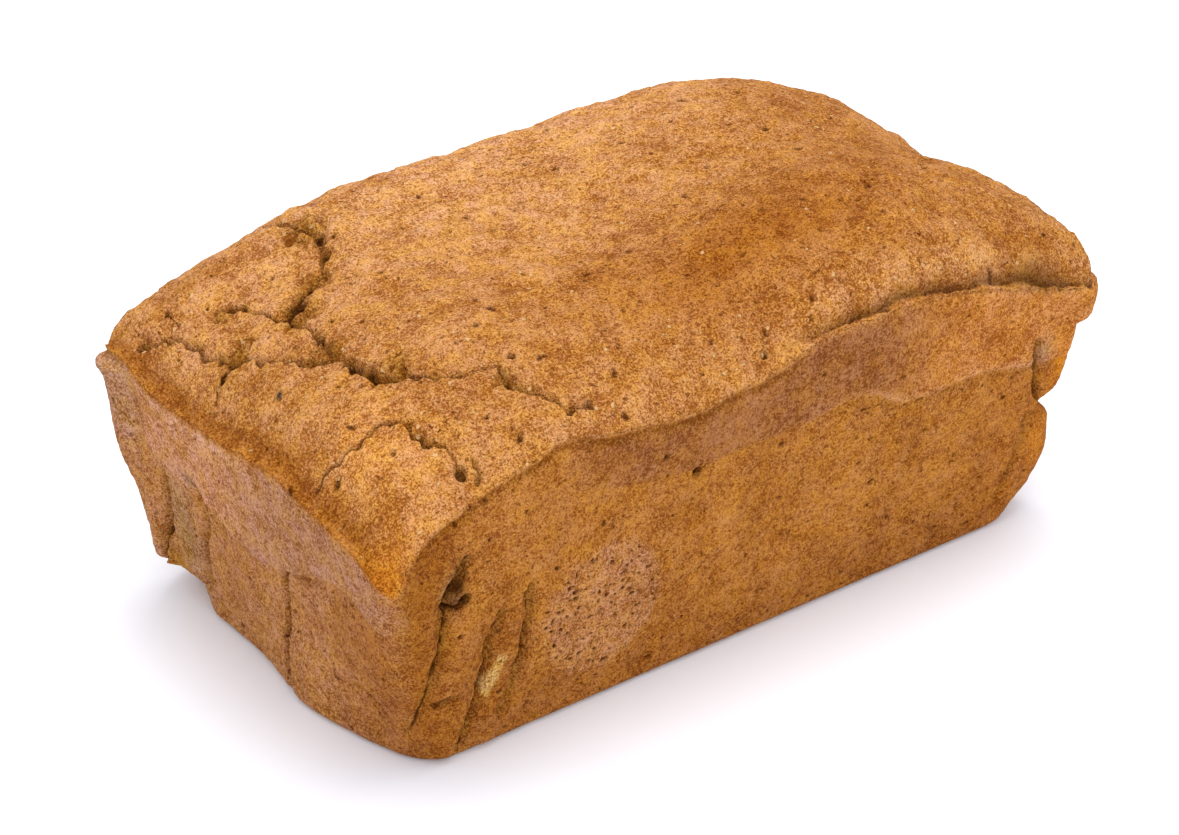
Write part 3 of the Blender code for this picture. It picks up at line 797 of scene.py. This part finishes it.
def wall_relief(x, y, z, out_x, out_y):
    """How far a wall stands out from the tin's plain form."""
    near_share = np.where(out_y < 0, out_y**2, 0.0)
    left_share = np.where(out_x < 0, out_x**2, 0.0)
    right_share = np.where(out_x > 0, out_x**2, 0.0)
    feet = left_foot(y, z) * left_share + right_foot(y, z) * right_share
    relief = near_relief(x, z) * near_share + left_relief(y, z) * left_share
    relief += right_relief(y, z) * right_share
    return feet + relief * ramp(z, *RELIEF_START)


def under_rim(x, z):
    """1 along the crease just under the crust on the near side, left of where the rim line takes over."""
    under, waving, length, reach = UNDER_RIM
    below = along(NEAR_RIM, x) - z - waving * np.sin(x / length)
    return mound(below, under, reach) * ramp(x, *UNDER_RIM_START) * (1 - ramp(x, *UNDER_RIM_END))


def wall_detail(x, y, z, out_x, out_y):
    """Fine relief of the walls, how far in a pit and how far in a slit each place is."""
    near = np.where(out_y < 0, out_y**2, 0.0)
    left = np.where(out_x < 0, out_x**2, 0.0)
    smooth = np.maximum(near_band(x, z) * near, left_band(y, z) * left)
    patch = skin_patch(x, z) * near
    around = x + y + grain(BEND, x + y, z)
    up = z + grain(BEND, z, x + y)
    calm_grain, calm_lumps, calm_pits = BAND_CALM
    rise = grain(WALL_GRAIN, x + y, z) * (1.0 - calm_grain * smooth)
    rise += WALL_LUMP_HEIGHT * low_lumps(around, up, WALL_LUMP) * (1.0 - calm_lumps * smooth)
    pit = wall_pits(around, up, WALL_PIT) * (1.0 - calm_pits * smooth)
    pit = np.maximum(pit, wall_pits(around, up, PATCH_PIT) * patch)
    near_depth, near_slit = tears(NEAR_SLITS, x, z, SLIT_WANDER)
    left_depth, left_slit = tears(LEFT_SLITS, y, z, SLIT_WANDER)
    near_slit = np.maximum(near_slit, HOLE_DARKNESS * ramp(holes(DARK_HOLES, x, z), *NEAR_HOLE_EDGE))
    slit = np.maximum(near_slit * near, left_slit * left)
    crease = under_rim(x, z) * near
    rise -= WALL_PIT_DEPTH * pit + near_depth * near + left_depth * left + crease
    return rise, pit, slit


def loaf_form(cube):
    """Moves the points of a cube, from -1 to 1 each way, onto the loaf, and notes what lies at each."""
    s, t, w = cube.T
    s = crowd(s)
    from_edge = np.minimum((1 - np.abs(s)) * RIM_LENGTH / 2, (1 - np.abs(t)) * RIM_WIDTH / 2)
    rim = rim_height(s, t)
    share = (w + 1) / 2
    is_top = w > ON_FACE
    z = np.where(is_top, crust_height(s, t), rim * share)
    x, y, _, _ = plan(s, t, z)
    edge_s = np.where(from_edge == (1 - np.abs(s)) * RIM_LENGTH / 2, np.sign(s), s)
    edge_t = np.where(from_edge == (1 - np.abs(t)) * RIM_WIDTH / 2, np.sign(t), t)
    _, _, out_x, out_y = plan(edge_s, edge_t, z)
    fade = mound(from_edge, 0.0, np.where(is_top, TOP_FADE, BOTTOM_FADE))
    level = np.where(is_top, rim, z)
    relief = wall_relief(x, y, level, out_x, out_y) * fade
    relief += lumps(WALL_LUMPS, cube * WALL_SPACE) * fade * ramp(z, *LUMPS_START)
    foot = np.clip(1 - z / FOOT_ROUNDING, 0, 1)
    relief -= FOOT_ROUNDING * (1 - np.sqrt(1 - foot**2)) * fade
    fine, wall_pit, slit = wall_detail(x, y, level, out_x, out_y)
    fine *= np.where(is_top, mound(from_edge, 0.0, FINE_CARRY), ramp(z, *RELIEF_START))
    x += out_x * (relief + fine)
    y += out_y * (relief + fine)
    stands, inside, rim_line = top_relief(x, y)
    crumbs = crumbly(x, y)
    rise, pit = crust_detail(x, y, crumbs)
    crust = lumps(LUMPS, np.stack((x, y, 0 * x), 1)) + stands + rise
    z += crust * np.where(is_top, 1.0, share**CRUST_CARRY)
    places = np.stack((x - MIDDLE_X, y - MIDDLE_Y, np.where(w < -ON_FACE, 0.0, z)), 1)
    notes = {"x": x, "y": y, "z": level, "is_top": is_top, "out_x": out_x, "out_y": out_y, "rim": rim,
             "tear": np.where(is_top, inside, slit), "pit": np.where(is_top, pit, wall_pit), "crumbs": crumbs,
             "rise": np.where(is_top, rise, fine), "rim_line": rim_line}
    return places, notes


def on_the_loaf(cube):
    """Where the points of a cube come to lie on the loaf's plain form, and which way they face."""
    s, t, w = cube.T
    s = crowd(s)
    is_top = w > ON_FACE
    z = np.where(is_top, crust_height(s, t), rim_height(s, t) * (w + 1) / 2)
    x, y, out_x, out_y = plan(s, t, z)
    return x, y, z, out_x, out_y, is_top


def nearest_tear(routes, across, up):
    """Distance to the edge of the nearest tear, less than nothing inside one."""
    gap = np.full(across.shape, 1e9)
    for half_width, _, route in routes:
        gap = np.minimum(gap, distance_to(route, across, up) - half_width)
    return gap


def is_fine(cube):
    """Where small squares are needed: at the cracks, folds and crumbs, and in the skin patch."""
    x, y, z, out_x, out_y, is_top = on_the_loaf(cube)
    near = (out_y < -0.5) & ~is_top
    left = (out_x < -0.5) & ~is_top
    from_wall, start = FINE_RIM
    line = (y < from_wall - RIM_WIDTH / 2) & (x > start)
    fine = is_top & ((nearest_tear(TOP_CRACKS, x, y) < FINE_BY_CRACKS) | (crumbly(x, y) > FINE_CRUMBS) | line)
    fine |= near & ((nearest_tear(NEAR_SLITS, x, z) < FINE_BY_SLITS) | (skin_patch(x, z) > FINE_PATCH))
    return fine | (left & (nearest_tear(LEFT_SLITS, y, z) < FINE_BY_SLITS))


def get_points(mesh):
    places = np.empty(len(mesh.vertices) * 3, np.float32)
    mesh.vertices.foreach_get("co", places)
    return places.reshape(-1, 3).astype(float)


def set_points(mesh, places):
    mesh.vertices.foreach_set("co", places.astype(np.float32).ravel())
    mesh.update()


def split(loaf, chosen, cuts):
    """Splits the chosen faces into smaller ones."""
    loaf.data.polygons.foreach_set("select", chosen)
    bpy.ops.object.mode_set(mode="EDIT")
    bpy.ops.mesh.subdivide(number_cuts=cuts)
    bpy.ops.mesh.select_all(action="DESELECT")
    bpy.ops.object.mode_set(mode="OBJECT")


def face_middles(mesh):
    middles = np.empty(len(mesh.polygons) * 3, np.float32)
    mesh.polygons.foreach_get("center", middles)
    return middles.reshape(-1, 3).astype(float)


def raise_loaf():
    """A cube of small squares, smaller where it shows, moved onto the loaf's form and then thinned."""
    bpy.ops.object.select_all(action="DESELECT")
    bpy.ops.mesh.primitive_cube_add(size=2.0)
    loaf = bpy.context.object
    loaf.name = "oat_loaf"
    bpy.context.tool_settings.mesh_select_mode = (False, False, True)
    split(loaf, np.ones(len(loaf.data.polygons), bool), CUTS)
    middle = face_middles(loaf.data)
    showing = (middle[:, 2] > ON_FACE) | (middle[:, 1] < -ON_FACE) | (middle[:, 0] < -ON_FACE)
    split(loaf, showing, MORE_CUTS)
    split(loaf, is_fine(face_middles(loaf.data)), 1)
    places, notes = loaf_form(get_points(loaf.data))
    set_points(loaf.data, places * METRES)
    store(loaf.data, notes)
    thin = loaf.modifiers.new("Thin out", "DECIMATE")
    thin.ratio = min(1.0, TRIANGLES / sum(len(face.vertices) - 2 for face in loaf.data.polygons))
    bpy.ops.object.modifier_apply(modifier=thin.name)
    bpy.ops.object.shade_smooth()
    return loaf


def oval(across, up, at_across, at_up, reach_across, reach_up):
    """1 in the middle of a soft oval and nothing far outside it."""
    return np.exp(-(((across - at_across) / reach_across) ** 2) - ((up - at_up) / reach_up) ** 2)


def laid_over(tint, colour, share):
    """The tint with this share of the colour over it."""
    return tint + (np.array(colour) - tint) * np.clip(share, 0.0, 1.0)[:, None]


def setting_in(value, form):
    """A share that sets in from one value to another."""
    share, start, full = form
    return share * ramp(value, start, full)


def patched(tint, across, up, patches):
    """The tint with soft ovals of colour over it, one after the other."""
    for colour, share, *place in patches:
        tint = laid_over(tint, colour, share * oval(across, up, *place))
    return tint


def top_tint(notes):
    """The colour of the top crust, with a painted highlight on the ridge behind the near rim and painted
    shadow along its groove.
    """
    x, y = notes["x"], notes["y"]
    tint = patched(np.tile(GOLD, (len(x), 1)), x, y, TOP_PATCHES)
    from_left = x + RIM_LENGTH / 2
    ragged = grain(RIM_RAGGED, x, y)
    tint = laid_over(tint, RIM_ORANGE, setting_in(from_left + ragged, RIM_ORANGE_STRIP))
    share, at, reach = RIM_DARK_STRIP
    tint = laid_over(tint, RIM_DARK, share * mound(from_left + DARK_RAGGED_SHARE * ragged, at, reach))
    # Painted highlight on the ridge behind the near rim
    tint = laid_over(tint, PALE_GOLD, along_near_rim(x, y, RIDGE_HIGHLIGHT))
    tint = patched(tint, x, y, RIM_PATCHES)
    tint = laid_over(tint, CRUMB, CRUMB_SHARE * notes["crumbs"])
    at_x, at_y, black, clear = SPECK
    tint = laid_over(tint, SPECK_BLACK, 1.0 - ramp(np.hypot(x - at_x, y - at_y), black, clear))
    # Painted shadow along the groove of the near rim
    return laid_over(tint, DEEP_SHADE, RIM_SHADOW_SHARE * notes["rim_line"] ** 2)


def plain_wall_tint(notes):
    """The colour of a plain wall: browner at its foot and in upright streaks."""
    around, z = notes["x"] + notes["y"], notes["z"]
    tint = laid_over(np.tile(SIDE, (len(z), 1)), FOOT_BROWN, setting_in(z, FOOT_SHADE))
    streaks = grain(STREAKS, around, z / STREAK_LENGTH)
    return laid_over(tint, FOOT_BROWN, STREAK_SHARE * streaks)


def near_tint(notes):
    """The colour of the near side, with painted shade in its folds, in the crease under the crust and under
    the band's edge.
    """
    x, z = notes["x"], notes["z"]
    tint = laid_over(plain_wall_tint(notes), CORNER_BROWN, setting_in(x, CORNER_SHADE))
    tint = laid_over(tint, RIGHT_BROWN, setting_in(x, RIGHT_SHADE))
    band = BAND_SHARE * near_band(x, z)
    tint = laid_over(tint, BAND, band)
    tint = laid_over(tint, BAND_RIGHT, band * ramp(x, *BAND_RIGHT_START))
    from_band = z - along(NEAR_BAND_EDGE, x)
    # A pale lip along the band's edge, and painted shadow under it
    for colour, (share, at, reach) in ((BAND_LIP, BAND_LIP_LINE), (TEAR_AND_SHADE, BAND_SHADE_LINE)):
        tint = laid_over(tint, colour, share * mound(from_band, at, reach) * ramp(x, *BAND_LINE_START))
    tint = laid_over(tint, SKIN, SKIN_SHARE * skin_patch(x, z))
    # Painted shade in the crease under the crust
    tint = laid_over(tint, TEAR_AND_SHADE, UNDER_RIM_SHADE_SHARE * under_rim(x, z))
    tint = patched(tint, x, z, NEAR_PATCHES)
    from_flake = distance_to(FLAKE, x, z)
    tint = laid_over(tint, FLAKE_YELLOW, 1.0 - ramp(from_flake + grain(BEND, x, z), *FLAKE_COLOUR_EDGE))
    # Painted shade in the folds, kept off the flake
    fold_shade = setting_in(grooves(NEAR_FOLDS, x, z, WALL_WANDER), NEAR_FOLD_SHADE)
    return laid_over(tint, TEAR_AND_SHADE, ramp(from_flake, *FLAKE_CLEAR) * fold_shade)


def left_tint(notes):
    """The colour of the left end, with painted shade in its folds and under its flap."""
    y, z = notes["y"], notes["z"]
    tint = laid_over(np.tile(END, (len(y), 1)), END_RIGHT, setting_in(y, END_RIGHT_SHADE))
    band = BAND_SHARE * left_band(y, z)
    tint = laid_over(tint, MAUVE_LOW, band)
    tint = laid_over(tint, MAUVE, band * ramp(y + MAUVE_SLOPE * z, *MAUVE_START))
    share, under, reach = LEFT_LIP_LINE
    lip = share * mound(notes["rim"] - z, under, reach) * ramp(y, *LEFT_LIP_START)
    tint = laid_over(tint, PALE_LIP, lip * (1 - ramp(y, *LEFT_LIP_END)))
    tint = laid_over(tint, PALE_STRIP, setting_in(y, PALE_STRIP_SHADE))
    tint = patched(tint, y, z, LEFT_PATCHES)
    # Painted shade in the folds
    fold_shade = setting_in(grooves(LEFT_FOLDS, y, z, WALL_WANDER), LEFT_FOLD_SHADE)
    tint = laid_over(tint, TEAR_AND_SHADE, fold_shade)
    return patched(tint, y, z, LEFT_FOOT_PATCHES)


def tint_of(notes):
    """The crust's colour at each place before its grain, with painted shade in its tears, holes, pits, folds
    and creases.
    """
    down = notes["rim"] - notes["z"]
    wall = np.where(notes["is_top"], 0.0, ramp(down, *WALL_COLOUR_START))
    left = np.where(notes["out_x"] < 0, notes["out_x"] ** 2, 0.0)
    near = ramp(-notes["out_y"], *NEAR_COLOUR_START) * (1 - left)
    side = left_tint(notes) * left[:, None] + near_tint(notes) * near[:, None]
    side += plain_wall_tint(notes) * (1 - left - near)[:, None]
    tint = top_tint(notes) * (1 - wall[:, None]) + side * wall[:, None]
    # Painted shade inside tears, holes and pits
    shaded_insides = ((TEAR_AND_SHADE, "tear", TEAR_TINT), (DEEP_SHADE, "tear", DARK_TINT), (DEEP_SHADE, "pit", PIT_TINT))
    for colour, note, form in shaded_insides:
        tint = laid_over(tint, colour, setting_in(notes[note], form))
    return tint


def store(mesh, notes):
    """Keeps on the mesh's points what the crust's material reads: tint, grit and how high it stands."""
    smooth = np.maximum(near_band(notes["x"], notes["z"]) * (notes["out_y"] < -0.5),
                        left_band(notes["y"], notes["z"]) * (notes["out_x"] < -0.5))
    grit = np.where(notes["is_top"], TOP_GRIT, WALL_GRIT - BAND_GRIT_LOSS * smooth)
    for name, value in (("grit", grit), ("rise", notes["rise"])):
        layer = mesh.attributes.new(name, "FLOAT", "POINT")
        layer.data.foreach_set("value", value.astype(np.float32))
    layer = mesh.attributes.new("tint", "FLOAT_COLOR", "POINT")
    tint = np.concatenate((tint_of(notes), np.ones((len(grit), 1))), 1)
    layer.data.foreach_set("color", tint.astype(np.float32).ravel())


class Value:
    """A shader socket that takes part in Python's arithmetic."""

    def __init__(self, tree, socket):
        self.tree = tree
        self.socket = socket

    def sum_with(self, other, operation, swapped=False):
        node = self.tree.nodes.new("ShaderNodeMath")
        node.operation = operation
        for slot, value in zip(node.inputs, (other, self) if swapped else (self, other)):
            if isinstance(value, Value):
                self.tree.links.new(value.socket, slot)
            else:
                slot.default_value = value
        return Value(self.tree, node.outputs[0])

    def __add__(self, other):
        return self.sum_with(other, "ADD")

    def __radd__(self, other):
        return self.sum_with(other, "ADD", True)

    def __sub__(self, other):
        return self.sum_with(other, "SUBTRACT")

    def __rsub__(self, other):
        return self.sum_with(other, "SUBTRACT", True)

    def __mul__(self, other):
        return self.sum_with(other, "MULTIPLY")

    def __rmul__(self, other):
        return self.sum_with(other, "MULTIPLY", True)


class Finish:
    """A material's node tree, with one method that adds any node."""

    def __init__(self, name):
        self.material = bpy.data.materials.new(name)
        self.material.use_nodes = True
        self.tree = self.material.node_tree
        self.shader = self.tree.nodes["Principled BSDF"]
        self.place = self.add("TexCoord", output="Object")

    def add(self, kind, settings=None, output=0, **inputs):
        node = self.tree.nodes.new("ShaderNode" + kind)
        for name, value in (settings or {}).items():
            setattr(node, name, value)
        for name, value in inputs.items():
            socket = int(name[2:]) if name.startswith("at") else name.replace("_", " ")
            self.feed(node.inputs[socket], value)
        return Value(self.tree, node.outputs[output])

    def feed(self, socket, value):
        if isinstance(value, Value):
            self.tree.links.new(value.socket, socket)
        else:
            socket.default_value = value

    def attribute(self, name, output="Fac"):
        return self.add("Attribute", {"attribute_name": name}, output=output)

    def noise(self, size, detail=2.0, roughness=0.5, shift=0.0):
        """Soft random values, one hill or hollow for each size in millimetres."""
        aside = (shift, shift * 0.7, shift * 0.3)
        place = self.add("VectorMath", {"operation": "ADD"}, at0=self.place, at1=aside)
        scale = 1.0 / (size * METRES)
        return self.add("TexNoise", Vector=place, Scale=scale, Detail=detail, Roughness=roughness)

    def between(self, value, start, end, shape="SMOOTHSTEP"):
        """0 up to start, 1 from end on. It runs the other way where end is the lower."""
        node = self.add("MapRange", {"interpolation_type": shape}, Value=value)
        stops = (start, end, 0.0, 1.0) if start < end else (end, start, 1.0, 0.0)
        for slot, stop in zip(node.socket.node.inputs[1:5], stops):
            slot.default_value = stop
        return node

    def mix(self, share, first, second, blend="MIX"):
        node = self.tree.nodes.new("ShaderNodeMix")
        node.data_type = "RGBA"
        node.blend_type = blend
        self.feed(node.inputs[0], share)
        self.feed(node.inputs[6], first if isinstance(first, Value) else (*first, 1.0))
        self.feed(node.inputs[7], second if isinstance(second, Value) else (*second, 1.0))
        return Value(self.tree, node.outputs[2])

    def set(self, **inputs):
        for name, value in inputs.items():
            self.feed(self.shader.inputs[name.replace("_", " ")], value)


# How the grain turns the crust's colour: dark and strong in the hollows and pale on the peaks, partly its own
# colour and partly painted shade and highlight, and from place to place more golden or more peachy. Flecks
# are darker, as painted shade in tiny pits, and specks of oat are pale
HOLLOW = (0.53, 0.37, 0.17)
EVEN = (0.98, 0.98, 0.98)
PEAK = (1.31, 1.52, 1.95)
GOLDEN = (1.02, 1.01, 0.76)
PEACHY = (0.99, 0.99, 1.22)
FLECK = (0.34, 0.22, 0.16)
OAT = (0.80, 0.48, 0.21)

# Sizes in millimetres of the colour's patches and of the grain's coarse and fine parts
PATCH_SIZE = 10.0
HUE_SIZE = 5.5
SMALL_SIZE = 1.7
FINE_SIZE = 0.55

# Grains, flecks and specks to a metre, how far they are bent out of place in metres, and the bump's height
GRAINS = 900.0
FLECKS = 330.0
SPECKS = 230.0
BENT_BY = 0.0012
BUMP_HEIGHT = 0.0012
SHEEN = 0.06


def crust_finish():
    """Dry golden brown oat crust: matt and gritty."""
    f = Finish("oat_crust")
    grit = f.attribute("grit")
    rise = f.attribute("rise")
    bend = f.add("TexNoise", output="Color", Vector=f.place, Scale=GRAINS, Detail=1.0)
    bent = f.add("VectorMath", {"operation": "MULTIPLY_ADD"}, at0=bend, at1=(BENT_BY,) * 3, at2=f.place)
    patchy = f.noise(PATCH_SIZE, detail=6.0, roughness=0.75, shift=3.1)
    small = f.noise(SMALL_SIZE, detail=3.0, roughness=0.7, shift=7.7)
    fine = f.noise(FINE_SIZE, detail=2.0, roughness=0.7, shift=5.3)
    lump = 0.45 - f.add("TexVoronoi", Vector=bent, Scale=GRAINS)
    level = 0.5 + (patchy - 0.5) * 2.1 + (small - 0.5) * 1.9 + (fine - 0.5) * 3.9
    level = level + lump * 0.5 + 0.35 * rise
    # Painted shade in the hollows and painted highlight on the peaks, over the crust's own variation
    tone = f.mix(f.between(level, -0.1, 0.5, "LINEAR"), HOLLOW, EVEN)
    tone = f.mix(f.between(level, 0.5, 1.1, "LINEAR"), tone, PEAK)
    hue = f.noise(HUE_SIZE, detail=4.0, roughness=0.7, shift=9.4)
    tone = f.mix(1.0, tone, f.mix(f.between(hue, 0.38, 0.62), GOLDEN, PEACHY), blend="MULTIPLY")
    # Flecks: painted shade in tiny pits
    size = 0.30 * f.add("TexVoronoi", output="Color", Vector=bent, Scale=FLECKS) - 0.07
    fleck = f.between(f.add("TexVoronoi", Vector=bent, Scale=FLECKS) - size, 0.03, -0.03)
    tone = f.mix(fleck * 0.75, tone, f.mix(1.0, tone, FLECK, blend="MULTIPLY"))
    colour = f.mix(1.0, f.attribute("tint", output="Color"), tone, blend="MULTIPLY")
    size = 0.20 * f.add("TexVoronoi", output="Color", Vector=bent, Scale=SPECKS) - 0.01
    speck = f.between(f.add("TexVoronoi", Vector=bent, Scale=SPECKS) - size, 0.02, -0.03)
    speck = speck * f.between(grit, 0.85, 0.95)
    colour = f.mix(speck * 0.7, colour, OAT)
    height = patchy * 1.2 + small * 1.2 + fine * 0.45 + lump * 0.6 + 0.3 * speck - 0.25 * fleck
    bump = f.add("Bump", Strength=1.0, Distance=BUMP_HEIGHT, Height=height * grit)
    f.set(Base_Color=colour, Roughness=0.74 + 0.16 * fine, Normal=bump)
    f.shader.inputs["Specular IOR Level"].default_value = SHEEN
    return f.material


def set_camera():
    azimuth = math.radians(AZIMUTH)
    elevation = math.radians(ELEVATION)
    back = Vector((math.sin(azimuth) * math.cos(elevation), -math.cos(azimuth) * math.cos(elevation),
                   math.sin(elevation)))
    right = Vector((math.cos(azimuth), math.sin(azimuth), 0.0))
    up = back.cross(right)
    lens = bpy.data.cameras.new("camera")
    lens.sensor_width = SENSOR
    lens.lens = FOCAL_PIXELS / PHOTO_WIDTH * SENSOR
    camera = bpy.data.objects.new("camera", lens)
    turned = Matrix((right, up, back)).transposed().to_4x4()
    camera.matrix_world = Matrix.Translation(AIM + DISTANCE * back) @ turned
    bpy.context.scene.collection.objects.link(camera)
    bpy.context.scene.camera = camera


def plain_finish(name, colour, roughness):
    f = Finish(name)
    f.shader.inputs["Base Color"].default_value = (*colour, 1.0)
    f.shader.inputs["Roughness"].default_value = roughness
    return f.material


def set_floor():
    bpy.ops.object.select_all(action="DESELECT")
    bpy.ops.mesh.primitive_plane_add(size=FLOOR_SIZE)
    floor = bpy.context.object
    floor.name = "floor"
    floor.data.materials.append(plain_finish("pale_floor", FLOOR_COLOUR, FLOOR_ROUGHNESS))


def area_light(name, place, size, power, colour):
    light = bpy.data.lights.new(name, "AREA")
    light.shape = "SQUARE"
    light.size = size
    light.energy = power
    light.color = colour
    lamp = bpy.data.objects.new(name, light)
    lamp.location = place
    lamp.rotation_euler = (LIT_PLACE - Vector(place)).to_track_quat("-Z", "Y").to_euler()
    bpy.context.scene.collection.objects.link(lamp)


def set_light():
    world = bpy.data.worlds.new("studio")
    world.use_nodes = True
    sky = world.node_tree.nodes["Background"]
    sky.inputs["Color"].default_value = SKY_COLOUR
    sky.inputs["Strength"].default_value = SKY_STRENGTH
    bpy.context.scene.world = world
    for light in LIGHTS:
        area_light(*light)
    bpy.context.scene.view_settings.view_transform = "Standard"


def bake_loaf():
    loaf = raise_loaf()
    loaf.data.materials.append(crust_finish())
    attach(loaf, "root")
    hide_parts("loaf")


set_camera()
set_floor()
set_light()
bake_loaf()
